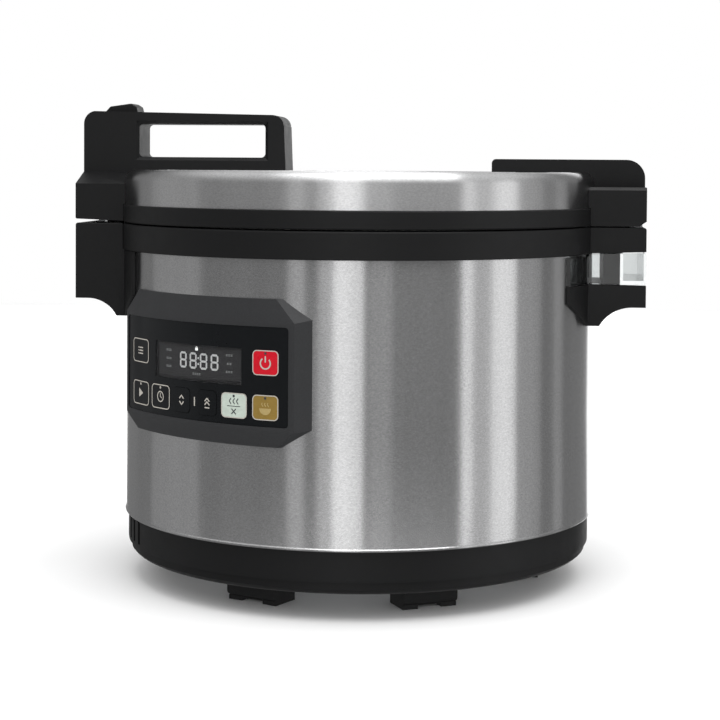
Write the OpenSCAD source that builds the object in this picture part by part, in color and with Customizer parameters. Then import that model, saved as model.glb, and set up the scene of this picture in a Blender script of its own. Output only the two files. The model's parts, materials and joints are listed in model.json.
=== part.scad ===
// Electric rice cooker for a canteen kitchen, with a hinged lid and a front control panel.
// Origin on the floor under the centre of the body. +Z up, +X towards the hinge.

/* [Body] */
// Outer diameter of the stainless body
body_d = 435; // [433:1:437]
// Thickness of the stainless sheet
sheet_t = 1; // [0.8:0.1:1.2]
// Height of the feet
foot_h = 22; // [20:1:24]
// Top of the moulded base, where the stainless body starts
base_top = 62; // [60:1:64]
// Underside of the moulded body ring
ring_z = 302; // [301:1:303]
// Top of the body ring
split_z = 326; // [326:0.5:327]
// How far the moulded rings stand out from the body
ring_out = 4; // [3.6:0.1:4.4]

/* [Lid] */
// Gap between the body ring and the lid ring
lid_gap = 1; // [0.8:0.1:1.2]
// Top of the moulded lid ring
lid_ring_top = 343; // [342:0.5:344]
// Top of the stainless lid cover
lid_top = 375; // [374:1:376]
// Top of the lid handle
handle_top = 430; // [427:1:433]
// Top of the hinge cover
cover_top = 387; // [386:1:388]
// Fall of the handle's top towards the middle of the lid
handle_fall = 3.5; // [2:0.5:4]

/* [Blocks] */
// Half of the width of the latch and hinge blocks
block_hw = 57; // [55:1:59]
// Half of the width of the handle and the hinge cover
handle_hw = 26; // [24:1:28]
// Distance from the middle of the body to the latch block's end
latch_end = 259; // [258.5:0.5:260]
// Distance from the middle of the body to the hinge block's end
hinge_end = 264; // [263:1:265]
// Wall thickness of the moulded blocks
wall = 3; // [2.6:0.2:3.4]

/* [Panel] */
// Direction that the control panel faces, from +X
panel_dir = 235.2; // [230:1:240]
// Radius that the panel's face is curved to
panel_rho = 260; // [255:1:265]
// Distance from the body's axis to the middle of the panel's face
panel_rc = 222.3; // [221.5:0.1:223]
// Travel of a key
key_travel = 0.8; // [0.5:0.1:0.8]

/* [Pot] */
// Outer diameter of the inner pot
pot_d = 380; // [376:1:382]
// Wall thickness of the inner pot
pot_t = 2.5; // [2:0.1:3]

/* [Hidden] */
$fn = 96;
eps = 0.01;
body_r = body_d / 2;
ring_r = body_r + ring_out;
flange_r = ring_r - 1.2;
lid_z = split_z + lid_gap;
cover_r = ring_r - 2;
pot_r = pot_d / 2;
pot_top = split_z - 1;
pot_floor = 87;
liner_r = pot_r + 4;
plate_top = pot_floor - 0.4;
plate_low = 72;
sensor_r = 20;
strap_z = 55;

// Mains socket: direction from +X and height of its middle
inlet_dir = 90;
inlet_z = 45;
screw_ring = 186;

// Dew cup: lower and upper edge at the body, and the rise of its top outwards
cup_lo = 275.5;
cup_hi = 301;
cup_rise = 0.045;

// Post of the hinge block that the dew cup slides around, in X, and half of its width
cup_post = [226, 240.5];
cup_post_hy = 46.4;

// Lowest points of the blocks
latch_low = 240;
hinge_low = 237;

hinge_x = hinge_end - 6;
hinge_z = lid_z + 6;
pin_r = 2.5;
fit = 0.05;
knuckle_y = [[-36, -26], [26, 36]];
bore_hy = block_hw - wall;
hinge_block_top = 362;
bar_end = 124;

// Handle: finger window, release button, its post, the seat of its spring and its slot's floor
window_x = [87, 206.5];
window_z = [387, 418];
button_x = [210, 241.5];
post_x = 229;
seat_z = 400;
slot_z = 417.5;
hook_x = 250;
hook_z = 350;
steam_x = 160;
steam_r = 11.5;

panel_off = panel_rc - panel_rho;
face_lo = 159.2;
face_hi = 249.6;
housing_lo = 145.5;
housing_hi = 269;
face_hy = 101.6;
housing_hy = 109.8;
housing_rim = 255.6;
fascia_out = panel_rho - 0.8;
fascia_in = fascia_out - 1.6;
board_w = 200;
fascia_u = [-100.3, 98.8];
screen_u = [-48.2, 55.1];
screen_z = [196, 227.2];
digit_u0 = -15.3;
digit_pitch = 12.3;
digit_w = 8.5;
digit_h = 13.8;
digit_z = 206.4;
segment_t = 1.7;
key_h = 21;
key_gap = 0.3;
row_lo = 178.9;
row_hi = 216.2;
// name, place along the panel's arc, height, width
KEYS = [
    ["key_menu", -74, row_hi, 29],
    ["key_start", -73.5, row_lo, 29],
    ["key_preset", -40, row_lo, 26.5],
    ["key_hour", -10.6, row_lo, 20],
    ["key_minute", 19.8, row_lo, 20],
    ["key_keep_warm", 48, row_lo, 25],
    ["key_cook", 78.2, row_lo, 23.6],
    ["key_power", 78.2, row_hi, 23.6]
];
FEET = [0, 63, 117, 180, 243, 297];
foot_names = [for (i = [1 : len(FEET)]) str("foot_", i)];
key_names = [for (k = KEYS) k[0]];

// ---------- shared shapes ----------

// Tube between two radii and two heights
module tube(r0, r1, z0, z1) {
    difference() {
        translate([0, 0, z0]) cylinder(r = r1, h = z1 - z0);
        translate([0, 0, z0 - 1]) cylinder(r = r0, h = z1 - z0 + 2);
    }
}

// Flat disc between two heights
module disc(r, z0, z1) {
    translate([0, 0, z0]) cylinder(r = r, h = z1 - z0);
}

// Box between two corners
module box(a, b) {
    translate(a) cube(b - a);
}

// Rectangle with its own radius at each corner: low-low, high-low, high-high, low-high
module round_rect(x0, z0, x1, z1, r) {
    corners = [[x0, z0, 1, 1, r[0]], [x1, z0, -1, 1, r[1]], [x1, z1, -1, -1, r[2]], [x0, z1, 1, -1, r[3]]];
    difference() {
        translate([x0, z0]) square([x1 - x0, z1 - z0]);
        for (c = corners) if (c[4] > 0)
            translate([c[0], c[1]]) mirror([c[2] < 0 ? 1 : 0, 0]) mirror([0, c[3] < 0 ? 1 : 0])
                corner_waste(c[4]);
    }
}

// What a fillet of radius r takes away from a square corner at the origin
module corner_waste(r) {
    difference() {
        translate([-1, -1]) square([r + 1, r + 1]);
        translate([r, r]) circle(r = r);
    }
}

// Extrude an outline drawn in X and Z through the width from -hw to +hw
module through_y(hw) {
    translate([0, hw, 0]) rotate([90, 0, 0]) linear_extrude(2 * hw) children();
}

// Extrude an outline drawn in Y and Z along X
module along_x(x0, x1) {
    translate([x0, 0, 0]) rotate([90, 0, 90]) linear_extrude(x1 - x0) children();
}

// Half space beyond the plane through point p with outward normal n
module beyond(p, n) {
    translate(p) rotate([0, acos(n[2] / norm(n)), atan2(n[1], n[0])])
        translate([-200, -200, 0]) cube([400, 400, 200]);
}

// Wire spring between two heights, as a six-sided wire swept along a helix
module coil(r, wire, turns, z0, z1) {
    sides = 6;
    rings = 12 * turns;
    rise = z1 - z0 - 2 * wire;
    points = [
        for (i = [0 : rings], j = [0 : sides - 1])
            let (a = 360 * turns * i / rings, b = 360 * j / sides, reach = r + wire * cos(b))
            [reach * cos(a), reach * sin(a), z0 + wire + rise * i / rings + wire * sin(b)]
    ];
    sleeve = [
        for (i = [0 : rings - 1], j = [0 : sides - 1])
            let (k = (j + 1) % sides)
            [i * sides + j, (i + 1) * sides + j, (i + 1) * sides + k, i * sides + k]
    ];
    start = [[for (j = [0 : sides - 1]) j]];
    end = [[for (j = [sides - 1 : -1 : 0]) rings * sides + j]];
    polyhedron(points, concat(start, sleeve, end), convexity = 8);
}

// The panel's own frame: +X out of the face, +Y along it, turned about the face's axis of curvature
module on_panel(u = 0) {
    rotate([0, 0, panel_dir]) translate([panel_off, 0, 0]) rotate([0, 0, u / panel_rho * 180 / PI])
        children();
}

// Curved plate on the panel, bounded by a rounded rectangle
module panel_plate(r0, r1, y0, y1, z0, z1, r) {
    intersection() {
        tube(r0, r1, z0 - 2, z1 + 2);
        along_x(200, 300) round_rect(y0, z0, y1, z1, [r, r, r, r]);
    }
}

// Where a length along the panel's arc falls across its width
function across(u) = panel_rho * sin(u / panel_rho * 180 / PI);

// ---------- base ----------

module base_profile() {
    difference() {
        union() {
            translate([170, foot_h]) square([body_r - 5 - 170, base_top - foot_h - 8]);
            translate([170, foot_h + 12]) square([body_r - 2 - 170, base_top - foot_h - 12]);
            translate([170, base_top - 4]) square([body_r - sheet_t - 0.3 - 170, 8]);
        }
        translate([body_r - 2 - 14, foot_h + 14]) difference() {
            translate([0, -15]) square([16, 15]);
            circle(r = 14);
        }
        translate([169, foot_h + 3.5]) square([body_r - 6.5 - 169 - 8, base_top]);
        translate([169, foot_h + 14]) square([body_r - 5.5 - 169, base_top]);
    }
}

// Places of the screws that hold the base plate to the base
module at_screws(z) {
    for (a = [0 : 60 : 300]) rotate([0, 0, a]) translate([screw_ring, 0, z]) children();
}

module vent_slots() {
    for (i = [-7 : 7]) rotate([0, 0, 180 + i * 4.2])
        box([body_r - 12, -2.8, 38], [body_r + 5, 2.8, 59]);
}

module base_ring() color([0.11, 0.11, 0.11]) difference() {
    union() {
        rotate_extrude() base_profile();
        rotate([0, 0, inlet_dir]) box([screw_ring + 9, -26, foot_h + 3], [body_r - 6, 26, base_top - 1]);
    }
    vent_slots();
    at_screws(foot_h - 1) cylinder(r = 1.6, h = 20);
    rotate([0, 0, inlet_dir]) {
        box([body_r - 40, -17.2, inlet_z - 13.2], [body_r + 5, 17.2, inlet_z + 13.2]);
        box([body_r - 8, -21, inlet_z - 16], [body_r + 5, 21, inlet_z + 16]);
    }
}

module base_plate() color([0.6, 0.6, 0.62]) difference() {
    union() {
        disc(screw_ring + 7, foot_h + 3.6, foot_h + 5);
        at_screws(foot_h + 4) cylinder(r = 3.5, h = 9);
        for (a = [45 : 90 : 315]) rotate([0, 0, a]) translate([90, 0, foot_h + 4]) cylinder(r = 4, h = 12);
    }
    for (a = [0 : 30 : 330], r = [60, 110]) rotate([0, 0, a + 15])
        box([r, -2.5, foot_h], [r + 30, 2.5, foot_h + 10]);
    for (a = [45 : 90 : 315]) rotate([0, 0, a]) translate([90, 0, foot_h]) cylinder(r = 1.5, h = 20);
    at_screws(foot_h) cylinder(r = 1.55, h = 20);
}

module base_screws() color([0.75, 0.75, 0.77])
    at_screws(foot_h - 2.2) difference() {
        union() {
            cylinder(r = 3.6, h = 2.2);
            cylinder(r = 1.5, h = 16);
        }
        for (t = [0, 90]) rotate([0, 0, t]) box([-2, -0.45, -1], [2, 0.45, 1.2]);
    }

module foot(a) color([0.1, 0.1, 0.1]) rotate([0, 0, a]) difference() {
    union() {
        box([141, -25, 0], [173, 25, foot_h]);
        box([150, -20, foot_h - eps], [164, 20, foot_h + 3.6]);
    }
    box([130, -11, -1], [180, 11, 3]);
    box([146, -20, -1], [168, -14, 3]);
    box([146, 14, -1], [168, 20, 3]);
    box([170, -30, -1], [180, 30, 5]);
    difference() {
        box([169, -30, 4], [180, 30, 9]);
        translate([168, 0, 9]) rotate([90, 0, 0]) translate([0, 0, -40]) cylinder(r = 5, h = 80);
    }
}

// ---------- body ----------

module body_shell() color([0.78, 0.78, 0.79]) difference() {
    union() {
        tube(body_r - sheet_t, body_r, base_top - 2, ring_z + 6);
        rotate_extrude() translate([body_r - 0.2, base_top + 1]) circle(r = 1.3, $fn = 24);
    }
    disc(body_r - sheet_t, base_top - 10, base_top + 10);
    rotate([0, 0, panel_dir]) box([150, -92, 156], [260, 92, 260]);
}

module body_ring() color([0.12, 0.12, 0.12]) rotate_extrude() {
    difference() {
        union() {
            translate([pot_r + 7.3, ring_z]) square([ring_r - pot_r - 7.3, split_z - ring_z]);
            translate([pot_r + 7.3, ring_z - 8]) square([3, 10]);
        }
        translate([pot_r + 10.3, ring_z - 10]) square([body_r - pot_r - 10.3 + 0.3, 16.5]);
        translate([ring_r, split_z]) mirror([1, 0]) mirror([0, 1]) corner_waste(2);
        translate([ring_r, ring_z]) mirror([1, 0]) corner_waste(1);
    }
    translate([pot_r + 3.5, split_z - 6.2]) square([6, 2]);
}

// The block's side outline, x measured outwards; the underside is cut by a finger arc
module block_outline(x0, x1, top, outer_z, inner_z, arc) {
    flat = 12;
    difference() {
        round_rect(x0, inner_z, x1, top, [0, 0, 2, 0]);
        translate([x1 - flat, outer_z - arc]) circle(r = arc);
        translate([x1 - flat, inner_z - 1]) square([20, outer_z - inner_z + 1]);
    }
}

// Thin skirt of the block that hugs the body, with its lower edge falling to the block
module flange(low, z0, z1) {
    half = flange_r * sin(27.5);
    intersection() {
        tube(body_r + 0.15, flange_r, 200, ring_z - 0.05);
        along_x(100, 240) polygon([
            [-half, ring_z], [half, ring_z], [half, low + 22],
            [block_hw, low], [-block_hw, low], [-half, low + 22]
        ]);
        box([100, -150, z0], [260, 150, z1]);
    }
}

module latch_block() color([0.12, 0.12, 0.12]) mirror([1, 0, 0]) {
    difference() {
        union() {
            difference() {
                through_y(block_hw) block_outline(190, latch_end, split_z - 0.3, 256, latch_low, 30);
                disc(ring_r + fit, ring_z - 0.05, split_z + 5);
                disc(flange_r - eps, 200, ring_z);
            }
            flange(latch_low, 200, ring_z);
        }
        box([flange_r + 2, -block_hw + wall, 200], [latch_end - wall, block_hw - wall, 297]);
        box([226, -16, 303 - wall], [latch_end - 5, 16, split_z + 2]);
    }
}

// Slot of the dew cup, drawn in X and Z, grown by g
module cup_outline(g, x0, x1) {
    polygon([
        [x0, cup_lo - g], [x1, cup_lo - g - (x1 - 213) * 0.028],
        [x1, cup_hi + g + (x1 - 213) * cup_rise], [x0, cup_hi + g]
    ]);
}

module hinge_block() color([0.12, 0.12, 0.12]) difference() {
    union() {
        difference() {
            through_y(block_hw) block_outline(190, hinge_end, split_z - 0.3, 254, hinge_low, 34);
            disc(ring_r + fit, ring_z - 0.05, split_z + 5);
            disc(flange_r - eps, 200, ring_z);
        }
        flange(hinge_low, 200, ring_z);
    }
    difference() {
        through_y(150) cup_outline(0.4, 180, 300);
        box([cup_post[0], -cup_post_hy, 260], [cup_post[1], cup_post_hy, 320]);
    }
    box([flange_r + 2, -block_hw + wall, 200], [hinge_end - wall, block_hw - wall, cup_lo - 4]);
    box([hinge_x - 12, -42, split_z - 14], [hinge_end - 2, 42, split_z + 2]);
    box([cup_post[1] + 1.2, -30, 295], [cup_post[1] + 4.2, 30, split_z + 2]);
}

module dew_cup() color([0.85, 0.9, 0.92, 0.4]) {
    difference() {
        union() {
            intersection() {
                through_y(block_hw) cup_outline(0, 190, hinge_end);
                difference() {
                    box([190, -60, 250], [300, 60, 330]);
                    disc(flange_r - eps, 250, 330);
                    disc(ring_r + 0.4, ring_z - 0.4, 330);
                }
            }
            flange(hinge_low, cup_lo, cup_hi - 1.4);
        }
        box([200, -cup_post_hy - 0.6, 260], [cup_post[1] + 0.6, cup_post_hy + 0.6, 320]);
        box([cup_post[1] + 3, -block_hw + 2.2, cup_lo + 2.6], [hinge_end - 2.2, block_hw - 2.2, 330]);
    }
}

// ---------- heating and pot ----------

module inner_liner() color([0.7, 0.7, 0.7]) difference() {
    union() {
        tube(liner_r - 1, liner_r, 62, split_z - 8);
        tube(120, liner_r, 61, 62.2);
    }
    for (a = [60, 180, 300]) rotate([0, 0, a]) translate([135, 0, 50]) cylinder(r = 2.2, h = 30);
}

module insulation() color([0.9, 0.88, 0.8]) difference() {
    tube(liner_r + 3, body_r - 6, 75, ring_z - 12);
    rotate([0, 0, panel_dir]) box([150, -100, 140], [260, 100, 274]);
}

module band_heater() color([0.55, 0.5, 0.45]) difference() {
    tube(liner_r + 0.2, liner_r + 2.6, 180, 230);
    rotate([0, 0, 90]) box([180, -8, 170], [220, 8, 240]);
}

module inner_pot() color([0.3, 0.3, 0.32]) rotate_extrude() {
    knee = 26;
    difference() {
        union() {
            translate([0, pot_floor]) square([pot_r, pot_top - pot_floor]);
            translate([pot_r - 1, pot_top - 3]) square([7, 3]);
        }
        translate([-1, pot_floor + pot_t]) square([pot_r - pot_t - knee + 1, pot_top]);
        translate([-1, pot_floor + pot_t + knee]) square([pot_r - pot_t + 1, pot_top]);
        translate([pot_r - pot_t - knee, pot_floor + pot_t + knee]) circle(r = knee);
        translate([pot_r, pot_floor]) mirror([1, 0]) corner_waste(knee + pot_t);
        translate([pot_r + 6, pot_top]) mirror([1, 0]) mirror([0, 1]) corner_waste(1.4);
    }
}

module heating_plate() color([0.66, 0.66, 0.68]) difference() {
    disc(148, plate_low, plate_top);
    disc(sensor_r + 2, plate_low - 1, plate_top + 1);
    rotate_extrude() translate([100, plate_low]) circle(r = 5);
    for (a = [60, 180, 300]) rotate([0, 0, a]) translate([135, 0, plate_low - 1]) cylinder(r = 2.05, h = 9);
}

module heating_element() color([0.5, 0.48, 0.46]) {
    rotate_extrude() translate([100, plate_low]) circle(r = 4.4);
    for (y = [-14, 14]) box([98, y - 2, 52], [100, y + 2, plate_low - 2]);
}

module plate_posts() color([0.7, 0.7, 0.72])
    for (a = [60, 180, 300]) rotate([0, 0, a]) translate([135, 0, 0]) {
        translate([0, 0, 56]) cylinder(r = 2, h = 22);
        translate([0, 0, 62.2]) cylinder(r = 5, h = plate_low - 62.2);
        translate([0, 0, 57]) cylinder(r = 5, h = 4);
    }

module temperature_sensor() color([0.8, 0.8, 0.82]) {
    difference() {
        disc(sensor_r, 74, plate_top + 0.1);
        disc(sensor_r - 1, 73, plate_top - 1.2);
    }
    disc(3, 52.5, plate_top - 1);
}

module sensor_spring() color([0.7, 0.7, 0.72]) coil(9, 0.8, 4, strap_z + 2, plate_top - 1.2);

// Strap under the heating plate that carries the sensor's spring
module sensor_bracket() color([0.7, 0.7, 0.72]) difference() {
    union() {
        box([-40, -8, strap_z], [40, 8, strap_z + 2]);
        for (x = [-40, 38]) box([x, -8, strap_z], [x + 2, 8, plate_low]);
        for (x = [-48, 38]) box([x, -8, plate_low - 2], [x + 10, 8, plate_low]);
    }
    disc(3.3, strap_z - 1, strap_z + 3);
}

module thermal_fuse() color([0.9, 0.9, 0.88]) translate([60, 0, 68.9]) rotate([90, 0, 0])
    translate([0, 0, -14]) union() {
        cylinder(r = 3, h = 28);
        translate([0, 0, -8]) cylinder(r = 0.7, h = 44);
    }

module power_board() color([0.15, 0.35, 0.2]) {
    top = foot_h + 17.6;
    difference() {
        box([-68, -68, foot_h + 16], [68, 68, top]);
        for (a = [45 : 90 : 315]) rotate([0, 0, a]) translate([90, 0, foot_h]) cylinder(r = 1.6, h = 30);
    }
    box([-55, -50, top - eps], [-25, -15, top + 10]);
    box([-15, -55, top - eps], [15, -35, top + 9]);
    translate([-40, 25, top - eps]) cylinder(r = 9, h = 8);
    translate([-18, 30, top - eps]) cylinder(r = 6, h = 8);
    box([10, 40, top - eps], [56, 56, top + 9]);
}

module power_inlet() color([0.08, 0.08, 0.08]) rotate([0, 0, inlet_dir]) difference() {
    union() {
        box([body_r - 34, -17, inlet_z - 13], [body_r - 7, 17, inlet_z + 13]);
        box([body_r - 8, -20.8, inlet_z - 15.8], [body_r - 5.6, 20.8, inlet_z + 15.8]);
    }
    box([body_r - 28, -14.8, inlet_z - 10.8], [body_r + 5, 14.8, inlet_z + 10.8]);
    pin_blades(fit);
}

// Three blades of the mains socket, grown by g
module pin_blades(g) {
    for (p = [[-8, -3.5], [0, 3.5], [8, -3.5]]) box(
        [body_r - 42, p[0] - 1 - g, inlet_z + p[1] - 2.4 - g],
        [body_r - 12, p[0] + 1 + g, inlet_z + p[1] + 2.4 + g]);
}

module inlet_pins() color([0.85, 0.8, 0.6]) rotate([0, 0, inlet_dir]) pin_blades(0);

module mains_leads() color([0.55, 0.2, 0.15]) rotate([0, 0, inlet_dir])
    for (y = [-8, 8]) translate([76, y, inlet_z - 3.5]) rotate([0, 90, 0])
        cylinder(r = 1.8, h = body_r - 42 - 76);

// ---------- control panel ----------

module housing_plan() {
    slope = (housing_hy - face_hy) / 14.4;
    mid = panel_off + panel_rho * cos(23);
    polygon([
        [150, -face_hy - (mid - 150) * slope], [150, face_hy + (mid - 150) * slope],
        [235, face_hy - (235 - mid) * slope], [235, -face_hy + (235 - mid) * slope]
    ]);
}

// Slanting cut of one corner of the housing, from the face's corner to the rim
module corner_cut(side, face_z, rim_z, side_z) {
    p = [panel_off + panel_rho * cos(23), side * face_hy, face_z];
    a = [200.2, side * 86.2, rim_z] - p;
    b = [187.2, side * housing_hy, side_z] - p;
    n = cross(a, b);
    beyond(p, n[0] > 0 ? n : -n);
}

module key_hole(k, g, r0, r1) {
    on_panel(k[1]) along_x(r0, r1)
        round_rect(-k[3] / 2 - g, k[2] - key_h / 2 - g, k[3] / 2 + g, k[2] + key_h / 2 + g, [4, 4, 4, 4]);
}

module panel_housing() color([0.2, 0.2, 0.205]) difference() {
    intersection() {
        on_panel() rotate_extrude() polygon([
            [230, housing_lo], [housing_rim, housing_lo], [panel_rho, face_lo],
            [panel_rho, face_hi], [housing_rim, housing_hi], [230, housing_hi]
        ]);
        rotate([0, 0, panel_dir]) translate([0, 0, 140]) linear_extrude(140) housing_plan();
    }
    difference() {
        disc(body_r + 0.1, 100, 300);
        rotate([0, 0, panel_dir]) box([board_w - 2, -90, 158], [260, 90, 258]);
    }
    rotate([0, 0, panel_dir]) {
        for (side = [-1, 1]) {
            corner_cut(side, face_hi, housing_hi, 252.5);
            corner_cut(side, face_lo, housing_lo, 160.9);
        }
        box([board_w - 0.5, -88, 162], [board_w + 2.4, 88, 252]);
    }
    on_panel() {
        panel_plate(fascia_in - 0.1, panel_rho + 5, across(fascia_u[0]) - 0.2, across(fascia_u[1]) + 0.2,
            162.8, 246.2, 3);
        intersection() {
            disc(fascia_in - 2.2, 162, 252);
            box([board_w, -88, 162], [300, 88, 252]);
        }
        panel_plate(230, 270, across(screen_u[0]) + 2, across(screen_u[1]) - 2,
            screen_z[0] + 2, screen_z[1] - 2, 0);
    }
    for (k = KEYS) key_hole(k, key_gap, 235, 270);
}

module panel_fascia() color([0.05, 0.055, 0.06]) difference() {
    on_panel() panel_plate(fascia_in, fascia_out, across(fascia_u[0]), across(fascia_u[1]), 163, 246, 3);
    on_panel() panel_plate(250, 270, across(screen_u[0]), across(screen_u[1]), screen_z[0], screen_z[1], 0);
    for (k = KEYS) key_hole(k, key_gap, 235, 270);
}

module display_window() color([0.25, 0.25, 0.26]) on_panel()
    panel_plate(fascia_in + 0.2, fascia_out, across(screen_u[0]) + 0.05, across(screen_u[1]) - 0.05,
        screen_z[0] + 0.05, screen_z[1] - 0.05, 0);

// One figure eight of seven bars, lower left corner at the origin, drawn in Y and Z
module seven_segments() {
    half = digit_h / 2;
    for (z = [0, half - segment_t / 2, digit_h - segment_t])
        translate([segment_t + 0.3, z]) square([digit_w - 2 * segment_t - 0.6, segment_t]);
    for (y = [0, digit_w - segment_t], z = [0.5, half + 0.6])
        translate([y, z]) square([segment_t, half - 1.1]);
}

module display_digits() color([0.8, 0.85, 0.85]) on_panel() {
    for (i = [0 : 3]) rotate([0, 0, (digit_u0 + i * digit_pitch + digit_w / 2) / panel_rho * 180 / PI])
        along_x(fascia_in - 0.9, fascia_in - 0.3) translate([-digit_w / 2, digit_z]) seven_segments();
    rotate([0, 0, 7.4 / panel_rho * 180 / PI]) along_x(fascia_in - 0.9, fascia_in - 0.3)
        for (z = [3.6, 8.8]) translate([-0.7, digit_z + z]) square([1.4, 1.4]);
}

module control_board() color([0.15, 0.35, 0.2]) {
    front = board_w + 1.6;
    key_back = panel_rho - 4.6;
    rotate([0, 0, panel_dir]) {
        box([board_w, -86, 164], [front, 86, 250]);
        for (k = KEYS) {
            t = k[1] / panel_rho * 180 / PI;
            reach = key_back * cos(t) + panel_off - front;
            translate([front - eps, key_back * sin(t), k[2]]) rotate([0, 90, 0])
                cylinder(r = 3, h = reach - key_travel - 1.1);
        }
    }
}

// Block on the board that carries the digits behind the window
module display_module() color([0.2, 0.2, 0.21]) intersection() {
    rotate([0, 0, panel_dir]) box(
        [board_w + 1.6, across(screen_u[0]) + 2.2, screen_z[0] + 2.2],
        [250, across(screen_u[1]) - 2.2, screen_z[1] - 2.2]);
    on_panel() disc(fascia_in - 0.9, screen_z[0], screen_z[1]);
}

module key(k) {
    tint = k[0] == "key_power" ? [0.8, 0.05, 0.15] : k[0] == "key_cook" ? [0.7, 0.6, 0.35]
        : k[0] == "key_keep_warm" ? [0.85, 0.9, 0.85] : [0.08, 0.08, 0.09];
    color(tint) intersection() {
        on_panel() tube(panel_rho - 4.6, panel_rho - 0.4, 150, 260);
        key_hole(k, 0, 235, 270);
    }
}

// ---------- lid ----------

module lid_ring() color([0.12, 0.12, 0.12]) rotate_extrude() difference() {
    translate([pot_r + 8, lid_z]) square([ring_r - pot_r - 8, lid_ring_top - lid_z]);
    translate([pot_r + 7, lid_z + 4]) square([ring_r - 5 - pot_r - 7, lid_ring_top - lid_z - 7]);
    translate([ring_r, lid_z]) mirror([1, 0]) corner_waste(1.5);
    translate([ring_r, lid_ring_top]) mirror([1, 0]) mirror([0, 1]) corner_waste(1);
}

// Solid section under the lid cover's surface, sunk by g: a side, a rounded shoulder, a dished top
module cover_section(g) {
    low = lid_ring_top + 0.1 - g;
    shoulder = 10;
    dish = 1.6;
    dish_r = cover_r - 24;
    difference() {
        union() {
            translate([0, low]) square([cover_r - g, lid_top - shoulder - low]);
            translate([0, low]) square([cover_r - shoulder, lid_top - g - low]);
            translate([cover_r - shoulder, lid_top - shoulder]) circle(r = shoulder - g);
        }
        translate([-1, lid_top - dish - g]) square([dish_r + g + 1, 10]);
    }
}

// Space that the lid ring and cover need in the parts fastened over them
module lid_clearance() {
    disc(ring_r + fit, lid_z - 2, lid_ring_top + 0.2);
    rotate_extrude() cover_section(-fit);
}

module lid_cover() color([0.82, 0.82, 0.83]) difference() {
    rotate_extrude() difference() {
        cover_section(0);
        cover_section(sheet_t);
    }
    translate([steam_x, 0, lid_ring_top]) cylinder(r = steam_r + 0.3, h = 60);
    for (x = [-150, -90]) translate([x, 0, lid_ring_top]) cylinder(r = 2.2, h = 60);
}

// Side outline of the handle bar, x measured outwards from the middle of the lid
module handle_outline() {
    inner = 69.5;
    difference() {
        polygon([
            [inner - 2, lid_top + 0.1], [latch_end, lid_top + 0.1],
            [latch_end, handle_top], [inner, handle_top - handle_fall]
        ]);
        translate([latch_end, handle_top]) mirror([1, 0]) mirror([0, 1]) corner_waste(12);
        translate([inner, handle_top - handle_fall]) mirror([0, 1]) corner_waste(10);
    }
}

// Finger window with its edge chamfered on both faces of the handle
module grip_window() {
    edge = 3;
    through_y(handle_hw + 1)
        round_rect(window_x[0], window_z[0], window_x[1], window_z[1], [4, 4, 4, 4]);
    for (side = [-1, 1]) intersection() {
        translate([0, 0, window_z[0] - 10]) linear_extrude(window_z[1] - window_z[0] + 20)
            flare(window_x[0], window_x[1], edge, side);
        translate([window_x[0] - 10, 0, 0]) rotate([90, 0, 90]) linear_extrude(window_x[1] - window_x[0] + 20)
            mirror([1, -1]) flare(window_z[0], window_z[1], edge, side);
    }
}

// Section of one chamfer: from a to b, wider by the edge at the handle's face
module flare(a, b, edge, side) {
    over = edge + 1;
    polygon([
        [a, side * (handle_hw - edge)], [b, side * (handle_hw - edge)],
        [b + over, side * (handle_hw + 1)], [a - over, side * (handle_hw + 1)]
    ]);
}

module lid_handle() color([0.12, 0.12, 0.12]) mirror([1, 0, 0]) difference() {
    union() {
        through_y(handle_hw) handle_outline();
        difference() {
            intersection() {
                through_y(block_hw) block_side(190, latch_end, 376);
                along_x(180, 280) polygon([
                    [-block_hw, 320], [block_hw, 320], [block_hw, 362], [handle_hw, 373],
                    [handle_hw, 376], [-handle_hw, 376], [-handle_hw, 373], [-block_hw, 362]
                ]);
            }
            lid_clearance();
        }
    }
    grip_window();
    box([button_x[0] - 0.5, -15.5, slot_z], [button_x[1] + 0.5, 15.5, 440]);
    box([post_x - 10, -11, seat_z], [post_x + 10, 11, slot_z + 1]);
    box([post_x - 3, -5, seat_z - 5], [post_x + 3, 5, seat_z + 1]);
    box([224, -18, 320], [latch_end - wall, 18, seat_z - wall]);
    for (y = [-block_hw + wall, 21]) box([224, y, 320], [latch_end - wall, y + block_hw - wall - 21, 357]);
    translate([hook_x, 20.6, hook_z]) rotate([90, 0, 0]) cylinder(r = 2.02, h = 41.2);
    for (x = [90, 150]) translate([x, 0, lid_top - 5]) cylinder(r = 1.6, h = 14);
}

// Side outline of a wide block on the lid, its underside rising towards the end
module block_side(x0, x1, top) {
    polygon([[x0, lid_z], [x1 - 1, lid_z + 2.4], [x1, lid_z + 3.4], [x1, top], [x0, top]]);
}

module hinge_outline() {
    difference() {
        union() {
            translate([bar_end, lid_top + 0.1]) square([hinge_end - bar_end, cover_top - lid_top - 0.1]);
            translate([ring_r - 20, lid_z]) square([hinge_end - ring_r + 20, cover_top - lid_z]);
        }
        translate([hinge_end, cover_top]) mirror([1, 0]) mirror([0, 1]) corner_waste(17);
        translate([bar_end, cover_top]) mirror([0, 1]) corner_waste(4);
        hinge_corner();
    }
}

// Corner cut off under the hinge so that it clears the block as the lid opens
module hinge_corner() {
    polygon([
        [hinge_x - 0.6, lid_z - 1], [hinge_x - 0.6, lid_z], [hinge_end, lid_z + 4.5],
        [hinge_end + 1, lid_z + 4.5], [hinge_end + 1, lid_z - 1]
    ]);
}

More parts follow.
